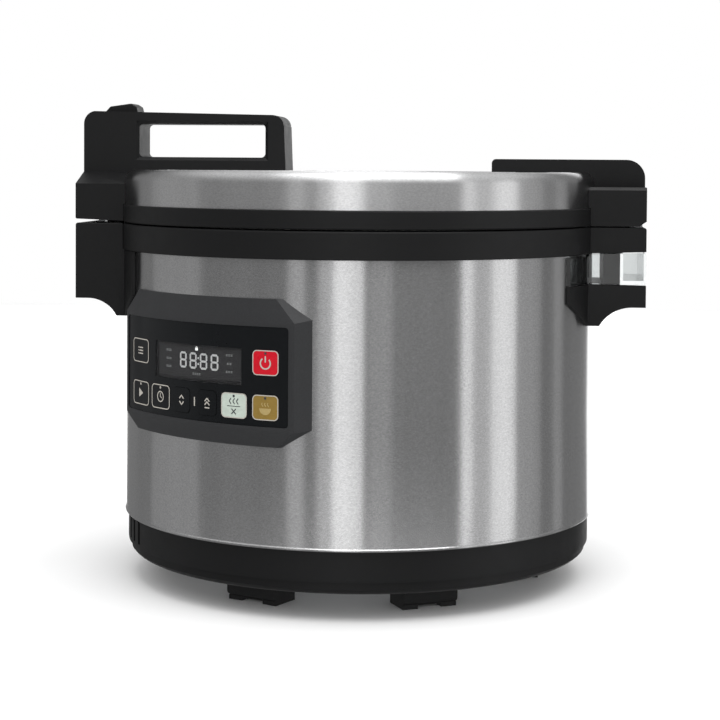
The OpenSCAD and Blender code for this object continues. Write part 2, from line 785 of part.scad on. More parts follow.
module hinge_cover() color([0.12, 0.12, 0.12]) difference() {
    union() {
        difference() {
            union() {
                through_y(handle_hw) hinge_outline();
                intersection() {
                    through_y(block_hw) difference() {
                        translate([190, lid_z]) square([hinge_end - 190, hinge_block_top - lid_z]);
                        hinge_corner();
                    }
                    along_x(180, 280) polygon([
                        [-block_hw, 320], [block_hw, 320], [block_hw, hinge_block_top - 2.6],
                        [block_hw - 2.6, hinge_block_top], [-block_hw + 2.6, hinge_block_top],
                        [-block_hw, hinge_block_top - 2.6]
                    ]);
                }
            }
            lid_clearance();
            box([ring_r + 4, -block_hw + wall, lid_z - 2],
                [hinge_end - wall, block_hw - wall, hinge_block_top - wall]);
            box([ring_r + 4, -handle_hw + wall, 350],
                [hinge_end - wall - 8, handle_hw - wall, cover_top - wall]);
            box([bar_end + wall, -handle_hw + wall, lid_top - 2],
                [ring_r + 5, handle_hw - wall, cover_top - wall]);
        }
        for (y = [-bore_hy, bore_hy - 8]) translate([hinge_x, y + 8, hinge_z]) rotate([90, 0, 0])
            cylinder(r = 4.6, h = 8);
        translate([steam_x, 0, cover_top - 6]) cylinder(r = 21, h = 5);
    }
    translate([steam_x, 0, lid_top - 5]) cylinder(r = 14.8, h = 40);
    translate([steam_x, 0, cover_top - 3]) cylinder(r = 17.4, h = 10);
    translate([hinge_x, bore_hy, hinge_z]) rotate([90, 0, 0]) cylinder(r = pin_r + 0.02, h = 2 * bore_hy);
    box([hinge_x - 2, -24, hinge_z - 5], [hinge_end - 1.4, 24, hinge_z + 5]);
    for (k = knuckle_y) box([hinge_x - 1, k[0] - 1.5, lid_z - 5], [hinge_end + 5, k[1] + 1.5, hinge_z + 16]);
}

module lid_pan() color([0.72, 0.72, 0.73]) difference() {
    disc(ring_r - 5.3, lid_z + 4.2, lid_z + 5.4);
    translate([steam_x, 0, lid_z]) cylinder(r = steam_r + 0.1, h = 20);
    disc(4.2, lid_z, lid_z + 10);
}

module inner_lid() color([0.8, 0.8, 0.81]) difference() {
    union() {
        disc(pot_r, lid_z + 0.3, lid_z + 1.5);
        disc(12, lid_z + 1, lid_z + 4.1);
        disc(4, lid_z + 3, lid_z + 9);
        tube(164, 167, lid_z + 1, lid_z + 2.6);
    }
    for (a = [0 : 60 : 300]) translate([steam_x, 0, lid_z - 1]) rotate([0, 0, a]) translate([6, 0, 0])
        cylinder(r = 2, h = 5);
}

module lid_gasket() color([0.85, 0.85, 0.82]) rotate_extrude() difference() {
    union() {
        translate([pot_r - 6, lid_z - 1]) square([12.8, 2.6]);
        translate([pot_r - 2, lid_z + 1]) square([8, 2.8]);
        translate([pot_r + 2, lid_z - 1]) circle(r = 0.6);
    }
    translate([pot_r - 10, lid_z + 0.25]) square([10.05, 1.3]);
}

module steam_tube() color([0.3, 0.3, 0.3]) translate([steam_x, 0, 0])
    tube(9, steam_r, lid_z + 2.9, cover_top - 8);

module steam_cap() color([0.1, 0.1, 0.1]) translate([steam_x, 0, 0]) difference() {
    union() {
        disc(17, cover_top - 2.9, cover_top - 0.2);
        tube(12, 14.4, cover_top - 13, cover_top - 2.5);
    }
    for (y = [-9 : 3.6 : 9]) box([-8, y - 0.8, cover_top - 10], [8, y + 0.8, cover_top + 2]);
}

// ---------- latch ----------

module release_button() color([0.14, 0.14, 0.14]) mirror([1, 0, 0]) {
    through_y(15) polygon([
        [button_x[0], handle_top - 8], [button_x[1], handle_top - 8], [button_x[1], handle_top - 1],
        [button_x[1] - 5, handle_top + 4.5], [button_x[1] - 24, handle_top + 7.2],
        [button_x[0] + 6, handle_top + 7.2], [button_x[0] + 1.5, handle_top + 4.5],
        [button_x[0], handle_top - 1]
    ]);
    box([post_x - 2, -4, 360.4], [post_x + 2, 4, handle_top - 7]);
}

module button_spring() color([0.75, 0.75, 0.76]) mirror([1, 0, 0]) translate([post_x, 0, 0])
    coil(6.4, 0.6, 6, seat_z, handle_top - 8);

module latch_hook() color([0.7, 0.7, 0.72]) mirror([1, 0, 0]) difference() {
    through_y(4) union() {
        polygon([
            [226, 356], [246, 349], [243, 318], [238, 317], [238, 312], [248, 311], [252, 345],
            [252, 354], [234, 358.5], [226, 360]
        ]);
        translate([hook_x, hook_z]) circle(r = 5.2);
    }
    translate([hook_x, 10, hook_z]) rotate([90, 0, 0]) cylinder(r = 2.05, h = 20);
}

module hook_pin() color([0.8, 0.8, 0.82]) translate([-hook_x, 20.5, hook_z]) rotate([90, 0, 0])
    cylinder(r = 2, h = 41);

module keeper() color([0.7, 0.7, 0.72]) mirror([1, 0, 0]) {
    box([235.2, -12, 300.05], [237.2, 12, 320]);
    box([228, -12, 300.05], [237.2, 12, 302]);
}

// ---------- hinge ----------

module hinge_bracket() color([0.7, 0.7, 0.72]) {
    foot_z = split_z - 13.8;
    box([hinge_x - 11, -38, foot_z], [hinge_end - 2.4, 38, foot_z + 2]);
    for (k = knuckle_y) difference() {
        union() {
            box([hinge_x - 4.5, k[0], foot_z], [hinge_x + 3.4, k[1], hinge_z]);
            translate([hinge_x, k[1], hinge_z]) rotate([90, 0, 0]) cylinder(r = 5, h = k[1] - k[0]);
        }
        translate([hinge_x, k[1] + 1, hinge_z]) rotate([90, 0, 0]) cylinder(r = pin_r + fit, h = 12);
    }
}

module hinge_pin() color([0.82, 0.82, 0.84])
    translate([hinge_x, bore_hy - 0.2, hinge_z]) rotate([90, 0, 0])
        cylinder(r = pin_r, h = 2 * bore_hy - 0.4);

module balance_springs() color([0.6, 0.6, 0.62])
    for (y = [-22, 6]) translate([hinge_x, y, hinge_z]) rotate([-90, 0, 0]) coil(3.3, 0.5, 8, 0, 16);

// ---------- assembly ----------

base_ring();
base_plate();
base_screws();
for (i = [0 : len(FEET) - 1]) foot(FEET[i]);
body_shell();
body_ring();
latch_block();
hinge_block();
dew_cup();
inner_liner();
insulation();
band_heater();
inner_pot();
heating_plate();
heating_element();
plate_posts();
temperature_sensor();
sensor_spring();
sensor_bracket();
thermal_fuse();
power_board();
power_inlet();
inlet_pins();
mains_leads();
panel_housing();
panel_fascia();
display_window();
display_digits();
display_module();
control_board();
for (k = KEYS) key(k);
lid_ring();
lid_cover();
lid_handle();
hinge_cover();
lid_pan();
inner_lid();
lid_gasket();
steam_tube();
steam_cap();
release_button();
button_spring();
latch_hook();
hook_pin();
keeper();
hinge_bracket();
hinge_pin();
balance_springs();
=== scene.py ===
import json
import math

import bmesh
import bpy
from mathutils import Matrix, Vector


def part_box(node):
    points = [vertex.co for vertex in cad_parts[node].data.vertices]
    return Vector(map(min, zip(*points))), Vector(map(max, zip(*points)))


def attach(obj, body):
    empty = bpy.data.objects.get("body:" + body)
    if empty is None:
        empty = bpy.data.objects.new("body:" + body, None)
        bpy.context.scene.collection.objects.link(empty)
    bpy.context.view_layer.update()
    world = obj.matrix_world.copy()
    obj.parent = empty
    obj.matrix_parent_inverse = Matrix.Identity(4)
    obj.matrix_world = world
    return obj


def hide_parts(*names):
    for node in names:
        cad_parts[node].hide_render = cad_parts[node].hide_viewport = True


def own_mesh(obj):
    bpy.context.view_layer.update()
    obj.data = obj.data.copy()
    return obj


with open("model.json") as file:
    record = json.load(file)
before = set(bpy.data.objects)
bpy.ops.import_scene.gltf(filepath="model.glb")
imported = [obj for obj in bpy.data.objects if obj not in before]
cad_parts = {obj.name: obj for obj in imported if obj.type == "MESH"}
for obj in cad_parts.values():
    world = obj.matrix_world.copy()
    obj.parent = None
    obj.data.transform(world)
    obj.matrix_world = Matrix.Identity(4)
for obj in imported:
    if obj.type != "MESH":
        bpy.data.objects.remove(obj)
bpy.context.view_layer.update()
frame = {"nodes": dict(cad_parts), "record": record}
MM = 0.001
NODES = frame["nodes"]
SLOT_OF = {part["node"]: part["material_slot"] for part in frame["record"]["subparts"]}
BODY_OF = {node: body for body, nodes in frame["record"]["behaviour"]["bodies"].items() for node in nodes}
SCENE = bpy.context.scene.collection

# ---------- camera, floor and light ----------

VIEW_AZIMUTH = math.radians(5.59)  # from -Y towards +X
VIEW_DISTANCE = 1.686
VIEW_HEIGHT = 0.3793
VIEW_PITCH = math.radians(2)
VIEW_ROLL = math.radians(0.378)
VIEW_LENS = 89.44
VIEW_SHIFT = -0.182


def add_camera():
    data = bpy.data.cameras.new("camera")
    data.lens = VIEW_LENS
    data.sensor_width = 36
    data.shift_y = VIEW_SHIFT
    data.clip_start = 0.05
    data.clip_end = 60
    camera = bpy.data.objects.new("camera", data)
    turn = Matrix.Rotation(VIEW_AZIMUTH, 4, "Z") @ Matrix.Rotation(math.pi / 2 - VIEW_PITCH, 4, "X")
    place = Vector((math.sin(VIEW_AZIMUTH), -math.cos(VIEW_AZIMUTH), 0)) * VIEW_DISTANCE
    place.z = VIEW_HEIGHT
    camera.matrix_world = Matrix.Translation(place) @ turn @ Matrix.Rotation(VIEW_ROLL, 4, "Z")
    SCENE.objects.link(camera)
    bpy.context.scene.camera = camera
    bpy.context.scene.view_settings.view_transform = "Standard"


def add_area(name, place, target, width, height, radiance):
    """Rectangular soft light of even brightness that faces the target."""
    data = bpy.data.lights.new(name, "AREA")
    data.shape = "RECTANGLE"
    data.size = width
    data.size_y = height
    data.energy = radiance * math.pi * width * height
    light = bpy.data.objects.new(name, data)
    light.location = place
    light.rotation_euler = (Vector(target) - Vector(place)).to_track_quat("-Z", "Y").to_euler()
    light.visible_camera = False
    SCENE.objects.link(light)


# Tall strip lights round the body: first and last direction in degrees, and brightness.
# A direction is counted from the camera's side towards +X.
STRIPS = [
    (-179, -160, 0.95), (-116, -80, 0.12), (-33, -25, 0.32), (-19, -12, 0.36), (-12, -4, 1.10), (-4, 2, 0.92),
    (5, 15, 0.17), (48, 54, 1.00), (54, 64, 0.44), (64, 78, 1.00), (78, 95, 0.20), (105, 113, 0.16),
    (148, 179, 1.30),
]
STRIP_DISTANCE = 3.2
STRIP_LOW = -1.5
STRIP_HIGH = 1.7


def add_strips():
    middle = (STRIP_LOW + STRIP_HIGH) / 2
    for number, (first, last, brightness) in enumerate(STRIPS):
        angle = math.radians((first + last) / 2) + VIEW_AZIMUTH
        width = 2 * STRIP_DISTANCE * math.tan(math.radians(last - first) / 2)
        place = (STRIP_DISTANCE * math.sin(angle), -STRIP_DISTANCE * math.cos(angle), middle)
        add_area(f"strip_{number}", place, (0, 0, middle), width, STRIP_HIGH - STRIP_LOW, brightness)


# Brightness of the surroundings, of the room that reflections show instead, and of its ceiling.
# The ceiling fades in between two heights of the reflected direction.
ROOM_WHITE = 1.0
ROOM_SEEN_BY_GLOSS = 0.225
CEILING = 0.85
CEILING_FROM = 0.45
CEILING_FULL = 0.80


def add_world():
    """Pale surroundings that light everything evenly, and that polished metal sees as a dimmer room."""
    world = bpy.data.worlds.new("studio")
    bpy.context.scene.world = world
    world.use_nodes = True
    world.cycles.sampling_method = "NONE"
    tree = world.node_tree
    tree.nodes.clear()
    out = tree.nodes.new("ShaderNodeOutputWorld")
    mix = tree.nodes.new("ShaderNodeMixShader")
    path = tree.nodes.new("ShaderNodeLightPath")
    surroundings = []
    for strength in (ROOM_WHITE, ROOM_SEEN_BY_GLOSS):
        background = tree.nodes.new("ShaderNodeBackground")
        background.inputs["Color"].default_value = (1, 1, 1, 1)
        background.inputs["Strength"].default_value = strength
        surroundings.append(background)
    direction = tree.nodes.new("ShaderNodeSeparateXYZ")
    tree.links.new(tree.nodes.new("ShaderNodeTexCoord").outputs["Generated"], direction.inputs["Vector"])
    rise = tree.nodes.new("ShaderNodeMapRange")
    rise.interpolation_type = "SMOOTHSTEP"
    rise.inputs["From Min"].default_value = CEILING_FROM
    rise.inputs["From Max"].default_value = CEILING_FULL
    rise.inputs["To Min"].default_value = ROOM_SEEN_BY_GLOSS
    rise.inputs["To Max"].default_value = CEILING
    tree.links.new(direction.outputs["Z"], rise.inputs["Value"])
    tree.links.new(rise.outputs["Result"], surroundings[1].inputs["Strength"])
    tree.links.new(path.outputs["Is Glossy Ray"], mix.inputs["Fac"])
    tree.links.new(surroundings[0].outputs["Background"], mix.inputs[1])
    tree.links.new(surroundings[1].outputs["Background"], mix.inputs[2])
    tree.links.new(mix.outputs["Shader"], out.inputs["Surface"])


TOP_LIGHT_PLACE = (0.3, -0.6, 2.8)
TOP_LIGHT_TARGET = (0, 0, 0.2)
TOP_LIGHT_SIZE = 2.4
TOP_LIGHT_RADIANCE = 2.6
FLOOR_SIZE = 6.2  # its sides pass just inside the ring of strip lights


def add_top_light():
    add_area("top", TOP_LIGHT_PLACE, TOP_LIGHT_TARGET, TOP_LIGHT_SIZE, TOP_LIGHT_SIZE, TOP_LIGHT_RADIANCE)


# ---------- node helpers ----------

MIDDLE = (0.3, 0.7)  # range of a noise over which its two colours blend


class Maker:
    """Builds one material's nodes round a Principled shader."""

    def __init__(self, name, **values):
        self.material = bpy.data.materials.new(name)
        self.material.use_nodes = True
        self.tree = self.material.node_tree
        self.tree.nodes.clear()
        self.out = self.tree.nodes.new("ShaderNodeOutputMaterial")
        self.shader = self.tree.nodes.new("ShaderNodeBsdfPrincipled")
        self.tree.links.new(self.shader.outputs["BSDF"], self.out.inputs["Surface"])
        self.coords = self.tree.nodes.new("ShaderNodeTexCoord").outputs["Object"]
        for key, value in values.items():
            self.set(key, value)

    def set(self, key, value):
        socket = self.shader.inputs[key.replace("_", " ").title().replace("Ior", "IOR")]
        if isinstance(value, tuple):
            value = (*value, 1)
        socket.default_value = value

    def node(self, kind, **values):
        node = self.tree.nodes.new(kind)
        for key, value in values.items():
            setattr(node, key, value)
        return node

    def link(self, source, target):
        self.tree.links.new(source, target)

    def stretched(self, scale):
        mapping = self.node("ShaderNodeMapping")
        mapping.inputs["Scale"].default_value = scale
        self.link(self.coords, mapping.inputs["Vector"])
        return mapping.outputs["Vector"]

    def noise(self, scale, detail, vector=None, rough=0.55):
        node = self.node("ShaderNodeTexNoise")
        node.inputs["Scale"].default_value = scale
        node.inputs["Detail"].default_value = detail
        node.inputs["Roughness"].default_value = rough
        self.link(vector or self.coords, node.inputs["Vector"])
        return node.outputs["Fac"]

    def ramp(self, source, low, high, at):
        node = self.node("ShaderNodeValToRGB")
        for element, colour, place in zip(node.color_ramp.elements, (low, high), at):
            element.color = (*colour, 1) if isinstance(colour, tuple) else (colour, colour, colour, 1)
            element.position = place
        self.link(source, node.inputs["Fac"])
        return node.outputs["Color"]

    def colour(self, source, low, high):
        self.link(self.ramp(source, low, high, MIDDLE), self.shader.inputs["Base Color"])

    def rough(self, source, low, high):
        self.link(self.ramp(source, low, high, MIDDLE), self.shader.inputs["Roughness"])

    def bump(self, source, strength, distance):
        node = self.node("ShaderNodeBump")
        node.inputs["Strength"].default_value = strength
        node.inputs["Distance"].default_value = distance
        self.link(source, node.inputs["Height"])
        self.link(node.outputs["Normal"], self.shader.inputs["Normal"])


def shades(colour, spread):
    return tuple(c * (1 - spread) for c in colour), tuple(min(1, c * (1 + spread)) for c in colour)


def moulded(name, colour, rough, grain=1800, strength=0.35, spread=0.12, shine=0.5):
    """Moulded plastic with a fine spark-eroded texture."""
    m = Maker(name, roughness=rough, specular_ior_level=shine)
    low, high = shades(colour, spread)
    m.colour(m.noise(grain * 0.5, 4), low, high)
    m.rough(m.noise(60, 3), rough - 0.04, rough + 0.04)
    m.bump(m.noise(grain, 2), strength, 0.00012)
    return m.material


def glossy(name, colour, rough, spread=0.06, coat=0.0, shine=0.5):
    """Smooth film or polished moulding with faint cloudiness."""
    m = Maker(name, coat_weight=coat, coat_roughness=0.06, specular_ior_level=shine)
    low, high = shades(colour, spread)
    m.colour(m.noise(240, 3), low, high)
    m.rough(m.noise(35, 3), rough * 0.8, rough * 1.25)
    return m.material


def metal(name, colour, rough, grain=(600, 600, 600), spread=0.06, strength=0.1):
    """Bare metal with a fine grain; the grain's scale may differ by direction."""
    m = Maker(name, metallic=1.0, roughness=rough)
    low, high = shades(colour, spread)
    grains = m.noise(1.0, 4, m.stretched(grain))
    m.colour(grains, low, high)
    m.rough(m.noise(18, 2), rough - 0.05, rough + 0.05)
    m.bump(grains, strength, 0.00005)
    return m.material


def brushed(name, colour, rough, turn, grain, bands):
    """Sheet steel brushed round the vertical axis, which draws reflections out along it."""
    m = Maker(name, metallic=1.0, roughness=rough, anisotropic=1.0, anisotropic_rotation=turn)
    tangent = m.node("ShaderNodeTangent", direction_type="RADIAL", axis="Z")
    m.link(tangent.outputs["Tangent"], m.shader.inputs["Tangent"])
    fine = m.noise(1.0, 5, m.stretched(grain), 0.7)
    low, high = shades(colour, 0.2)
    tint = m.ramp(fine, low, high, (0.25, 0.75))
    streaks = m.ramp(m.noise(1.0, 3, m.stretched(bands)), 0.93, 1.0, (0.35, 0.65))
    mix = m.node("ShaderNodeMix", data_type="RGBA", blend_type="MULTIPLY")
    mix.inputs["Factor"].default_value = 1
    m.link(tint, mix.inputs["A"])
    m.link(streaks, mix.inputs["B"])
    m.link(mix.outputs["Result"], m.shader.inputs["Base Color"])
    m.bump(fine, 0.12, 0.00003)
    return m.material


def clear(name, colour):
    """Clear moulded plastic with slight flow marks."""
    m = Maker(name, base_color=colour, transmission_weight=1.0, ior=1.49)
    m.rough(m.noise(70, 3), 0.024, 0.064)
    m.bump(m.noise(45, 2), 0.05, 0.0004)
    return m.material


def smoked(name, colour, alpha):
    """Thin tinted window film."""
    m = Maker(name, alpha=alpha)
    low, high = shades(colour, 0.05)
    m.colour(m.noise(300, 2), low, high)
    m.rough(m.noise(40, 2), 0.14, 0.2)
    return m.material


def woven(name, colour):
    """Needled fibre blanket."""
    m = Maker(name, roughness=0.95)
    low, high = shades(colour, 0.18)
    fibres = m.noise(1.0, 6, m.stretched((500, 500, 160)), 0.75)
    m.colour(fibres, low, high)
    m.bump(fibres, 0.8, 0.0008)
    return m.material


def floor_material():
    m = Maker("floor_pale", roughness=0.9)
    m.colour(m.noise(3, 2), (0.90, 0.90, 0.90), (0.93, 0.93, 0.93))
    return m.material


BLACK = (0.0062, 0.0063, 0.0067)
MATERIALS = {
    "stainless_body": brushed("steel_body", (0.62, 0.62, 0.625), 0.24, 0.25, (500, 500, 900), (38, 38, 1.2)),
    # The lid's steel is a lighter copy of the body's steel: its lighter base colour is painted light,
    # standing in for the brighter reflections on the lid.
    "stainless_lid": brushed("steel_lid", (0.74, 0.74, 0.745), 0.32, 0.25, (500, 500, 900), (30, 30, 2)),
    "black_plastic": moulded("plastic_black", BLACK, 0.48, shine=0.26),
    "panel_plastic": moulded("plastic_panel", (0.024, 0.0246, 0.0262), 0.46, 1500, shine=0.34),
    "fascia_film": glossy("film_fascia", (0.0055, 0.0062, 0.0070), 0.16, coat=0.08, shine=0.15),
    "window_film": smoked("film_window", (0.022, 0.022, 0.023), 0.20),
    "display_grey": moulded("display_face", (0.050, 0.050, 0.052), 0.6, 900, 0.1, shine=0.2),
    "digit_white": moulded("digit_print", (0.85, 0.9, 0.9), 0.5, 900, 0.1, 0.03),
    "key_dark": glossy("key_black", (0.0055, 0.0062, 0.0070), 0.16, coat=0.08, shine=0.15),
    "key_red": glossy("key_red", (0.46, 0.002, 0.012), 0.28, shine=0.25),
    "key_gold": glossy("key_gold", (0.21, 0.135, 0.028), 0.3, shine=0.25),
    "key_pale": glossy("key_pale", (0.42, 0.475, 0.42), 0.28, shine=0.25),
    "clear_plastic": clear("cup_clear", (0.66, 0.675, 0.675)),
    "silicone": moulded("silicone", (0.62, 0.62, 0.58), 0.6, 700, 0.15, 0.05),
    "foot_rubber": moulded("rubber_foot", (0.010, 0.010, 0.0105), 0.7, 1200, shine=0.3),
    "pot_alloy": metal("pot_coating", (0.10, 0.10, 0.105), 0.42, (900, 900, 900), 0.3, 0.25),
    "cast_alloy": metal("cast_plate", (0.60, 0.60, 0.61), 0.42, (300, 300, 300), 0.12, 0.3),
    "sheet_alloy": metal("sheet_lid", (0.72, 0.72, 0.73), 0.34, (120, 900, 900)),
    "zinc_steel": metal("steel_zinc", (0.58, 0.59, 0.60), 0.36, (200, 200, 200), 0.12),
    "heater_steel": metal("steel_heated", (0.30, 0.25, 0.21), 0.45, (120, 120, 120), 0.3),
    "glass_fibre": woven("blanket", (0.74, 0.70, 0.60)),
    "board_green": glossy("board_mask", (0.02, 0.13, 0.055), 0.35, 0.25),
    "inlet_black": moulded("inlet_moulding", (0.018, 0.018, 0.018), 0.4),
    "pin_brass": metal("pin_brass", (0.72, 0.57, 0.28), 0.25),
    "lead_red": moulded("lead_sleeve", (0.42, 0.06, 0.035), 0.55, 900, 0.1),
    "fuse_white": glossy("fuse_ceramic", (0.78, 0.78, 0.74), 0.3),
}
MARKS = {
    "outline": moulded("print_outline", (0.40, 0.375, 0.335), 0.5, 900, 0.1, 0.04),
    "white": moulded("print_white", (0.95, 0.97, 0.97), 0.5, 900, 0.1, 0.04),
    "dim": moulded("print_dim", (0.16, 0.165, 0.165), 0.5, 900, 0.1, 0.05),
    "dark": moulded("print_dark", (0.03, 0.035, 0.04), 0.5, 900, 0.1, 0.1),
    "pale_gold": moulded("print_gold", (0.34, 0.25, 0.09), 0.5, 900, 0.1, 0.05),
}


# ---------- mesh helpers ----------

WELD = 2e-6  # distance at which doubled vertices of a CAD mesh are joined


def new_piece(name, bm, material, body, smooth=30):
    """Object from a finished bmesh, smooth below the given angle, riding its body."""
    bmesh.ops.recalc_face_normals(bm, faces=bm.faces)
    mesh = bpy.data.meshes.new(name)
    bm.to_mesh(mesh)
    bm.free()
    mesh.materials.append(material)
    mesh.shade_smooth()
    mesh.set_sharp_from_angle(angle=math.radians(smooth))
    piece = bpy.data.objects.new(name, mesh)
    SCENE.objects.link(piece)
    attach(piece, body)
    return piece


TURNED_SEGMENTS = 360


def revolved(section):
    """Closed ring of a closed section of (radius, height) points."""
    bm = bmesh.new()
    rings = []
    for i in range(TURNED_SEGMENTS):
        a = 2 * math.pi * i / TURNED_SEGMENTS
        rings.append([bm.verts.new((r * math.cos(a), r * math.sin(a), z)) for r, z in section])
    count = len(section)
    for i in range(TURNED_SEGMENTS):
        here, there = rings[i], rings[(i + 1) % TURNED_SEGMENTS]
        for j in range(count):
            k = (j + 1) % count
            bm.faces.new((here[j], there[j], there[k], here[k]))
    return bm


FLAT_WITHIN = math.radians(0.1)  # triangles that differ by less are one flat face
SHARP_ABOVE = math.radians(35)   # edges that turn by more are rounded


def softened(node, width):
    """Stands in for a CAD node with its sharp edges rounded by the given width."""
    bm = bmesh.new()
    bm.from_mesh(NODES[node].data)
    bmesh.ops.remove_doubles(bm, verts=bm.verts, dist=WELD)
    bmesh.ops.dissolve_limit(
        bm, angle_limit=FLAT_WITHIN, verts=bm.verts, edges=bm.edges, use_dissolve_boundaries=False)
    piece = new_piece(f"{node}_soft", bm, MATERIALS[SLOT_OF[node]], BODY_OF[node])
    bevel = piece.modifiers.new("round", "BEVEL")
    bevel.width = width
    bevel.segments = 2
    bevel.limit_method = "ANGLE"
    bevel.angle_limit = SHARP_ABOVE
    bevel.use_clamp_overlap = True
    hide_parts(node)


def compressing(node):
    """Stands in for a CAD spring with a copy of its mesh."""
    bm = bmesh.new()
    bm.from_mesh(NODES[node].data)
    bmesh.ops.remove_doubles(bm, verts=bm.verts, dist=WELD)
    piece = new_piece(f"{node}_coil", bm, MATERIALS[SLOT_OF[node]], BODY_OF[node], 60)
    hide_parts(node)
    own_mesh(piece)


# ---------- steel skins ----------

SHEET = 1.0 * MM                  # thickness of the steel
BEAD = 1.3 * MM                   # radius of the rolled lower edge
BEAD_SUNK = 0.2 * MM              # how far the bead's middle lies inside the body's surface
SHOULDER = 10 * MM                # radius of the lid's shoulder
DISH = 1.6 * MM                   # depth of the lid's dished top
DISH_IN = 24 * MM                 # from the lid's side to the dish
LID_MIDDLE = 2 * MM               # radius of the small hole left at the middle of the turned lid
OPENING_Z = (156 * MM, 260 * MM)  # lower and upper edge of the opening behind the panel
OPENING_HALF = 92 * MM            # half of that opening's width


def arc(cx, cz, r, first, last, parts):
    """Points along an arc between two angles in degrees."""
    for i in range(parts + 1):
        a = math.radians(first + (last - first) * i / parts)
        yield (cx + r * math.cos(a), cz + r * math.sin(a))


def in_opening(p):
    """Whether a point of the body's wall lies in the opening behind the control panel."""
    turned = Matrix.Rotation(-PANEL_DIR, 3, "Z") @ p
    return turned.x > 0 and abs(turned.y) < OPENING_HALF and OPENING_Z[0] < p.z < OPENING_Z[1]


def steel_body():
    """Body shell with its rolled lower edge, open behind the control panel."""
    low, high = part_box("body_shell")
    outer = high.x - BEAD + BEAD_SUNK
    section = [
        (outer - SHEET, low.z + BEAD), *((outer - SHEET, z) for z in OPENING_Z), (outer - SHEET, high.z),
        (outer, high.z), *((outer, z) for z in reversed(OPENING_Z)), (outer, low.z + 2.4 * BEAD),
        *arc(outer - BEAD_SUNK, low.z + BEAD, BEAD, 60, -90, 8),
    ]
    bm = revolved(section)
    opening = [face for face in bm.faces if in_opening(face.calc_center_median())]
    bmesh.ops.delete(bm, geom=opening, context="FACES")
    bmesh.ops.bridge_loops(bm, edges=[edge for edge in bm.edges if edge.is_boundary])
    piece = new_piece("steel_body_skin", bm, MATERIALS["stainless_body"], "body", 40)
    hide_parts("body_shell")


def steel_lid():
    """Lid cover: an upright side, a round shoulder and a dished top."""
    low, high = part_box("lid_cover")
    outer = high.x
    top = high.z
    dish_r = outer - DISH_IN
    step = 2 * DISH
    slope = [(dish_r + step * share, top - DISH * fall) for share, fall in ((1, 0), (0.7, 0.15), (0.3, 0.85))]
    section = [
        (outer, low.z),
        *arc(outer - SHOULDER, top - SHOULDER, SHOULDER, 0, 90, 14),
        *slope, (dish_r, top - DISH), (LID_MIDDLE, top - DISH), (LID_MIDDLE, top - DISH - SHEET),
        (dish_r, top - DISH - SHEET), (dish_r + step, top - SHEET),
        *arc(outer - SHOULDER, top - SHOULDER, SHOULDER - SHEET, 90, 0, 14),
        (outer - SHEET, low.z),
    ]
    bm = revolved(section)
    piece = new_piece("steel_lid_skin", bm, MATERIALS["stainless_lid"], "lid", 40)
    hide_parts("lid_cover")


# ---------- control panel ----------

PANEL_DIR = math.radians(235.2)  # direction that the panel faces, from +X
PANEL_RHO = 0.260                # radius of the panel's face
PANEL_RC = 0.2223                # distance of the face's middle from the body's axis
PRINT = 0.12 * MM                # thickness of a printed mark


def on_panel(u, z, r):
    """Point at arc length u along the face, height z and radius r from the face's axis."""
    t = u / PANEL_RHO
    flat = Vector((PANEL_RC - PANEL_RHO + r * math.cos(t), r * math.sin(t), z))
    return Matrix.Rotation(PANEL_DIR, 3, "Z") @ flat


def panel_extent(node):
    """Lowest and highest (u, z, r) of a CAD node on the panel."""
    turn = Matrix.Rotation(-PANEL_DIR, 3, "Z")
    found = []
    for vertex in NODES[node].data.vertices:
        p = turn @ vertex.co
        x = p.x - PANEL_RC + PANEL_RHO
        found.append((math.atan2(p.y, x) * PANEL_RHO, p.z, math.hypot(x, p.y)))
    return [min(v) for v in zip(*found)], [max(v) for v in zip(*found)]


class Print:
    """Thin printed marks on the panel's curved face, drawn in millimetres round a middle point."""

    def __init__(self, u, z, r):
        self.bm = bmesh.new()
        self.u = u
        self.z = z
        self.r = r

    def point(self, p, lift):
        return on_panel(self.u + p[0] * MM, self.z + p[1] * MM, self.r + lift)

    def fill(self, outline):
        back = [self.bm.verts.new(self.point(p, 0)) for p in outline]
        front = [self.bm.verts.new(self.point(p, PRINT)) for p in outline]
        self.bm.faces.new(front)
        self.bm.faces.new(back[::-1])
        for i in range(len(outline)):
            k = (i + 1) % len(outline)
            self.bm.faces.new((back[i], back[k], front[k], front[i]))

    def line(self, path, width, closed=False):
        """Band of even width along a path, with square ends."""
        path = resampled(path, 1.5, closed)
        count = len(path)
        left = []
        right = []
        for i, p in enumerate(path):
            a = path[i - 1] if closed or i else p
            b = path[(i + 1) % count] if closed or i < count - 1 else p
            d = (b[0] - a[0], b[1] - a[1])
            size = math.hypot(*d)
            n = (-d[1] / size * width / 2, d[0] / size * width / 2)
            left.append((p[0] + n[0], p[1] + n[1]))
            right.append((p[0] - n[0], p[1] - n[1]))
        rows = [
            [self.bm.verts.new(self.point(q, lift)) for q, lift in ((l, 0), (l, PRINT), (r, PRINT), (r, 0))]
            for l, r in zip(left, right)
        ]
        for i in range(count if closed else count - 1):
            here, there = rows[i], rows[(i + 1) % count]
            for j in range(4):
                k = (j + 1) % 4
                self.bm.faces.new((here[j], there[j], there[k], here[k]))
        if not closed:
            self.bm.faces.new(rows[0])
            self.bm.faces.new(rows[-1][::-1])

    def bar(self, x, y, width, height):
        self.fill([(x, y), (x + width, y), (x + width, y + height), (x, y + height)])

    def dot(self, x, y, r):
        self.fill([(x + r * math.cos(a), y + r * math.sin(a)) for a in steps(0, 360, 16)])

    def finish(self, name, mark, body):
        return new_piece(name, self.bm, MARKS[mark], body)


def steps(first, last, count):
    return [math.radians(first + (last - first) * i / count) for i in range(count)]


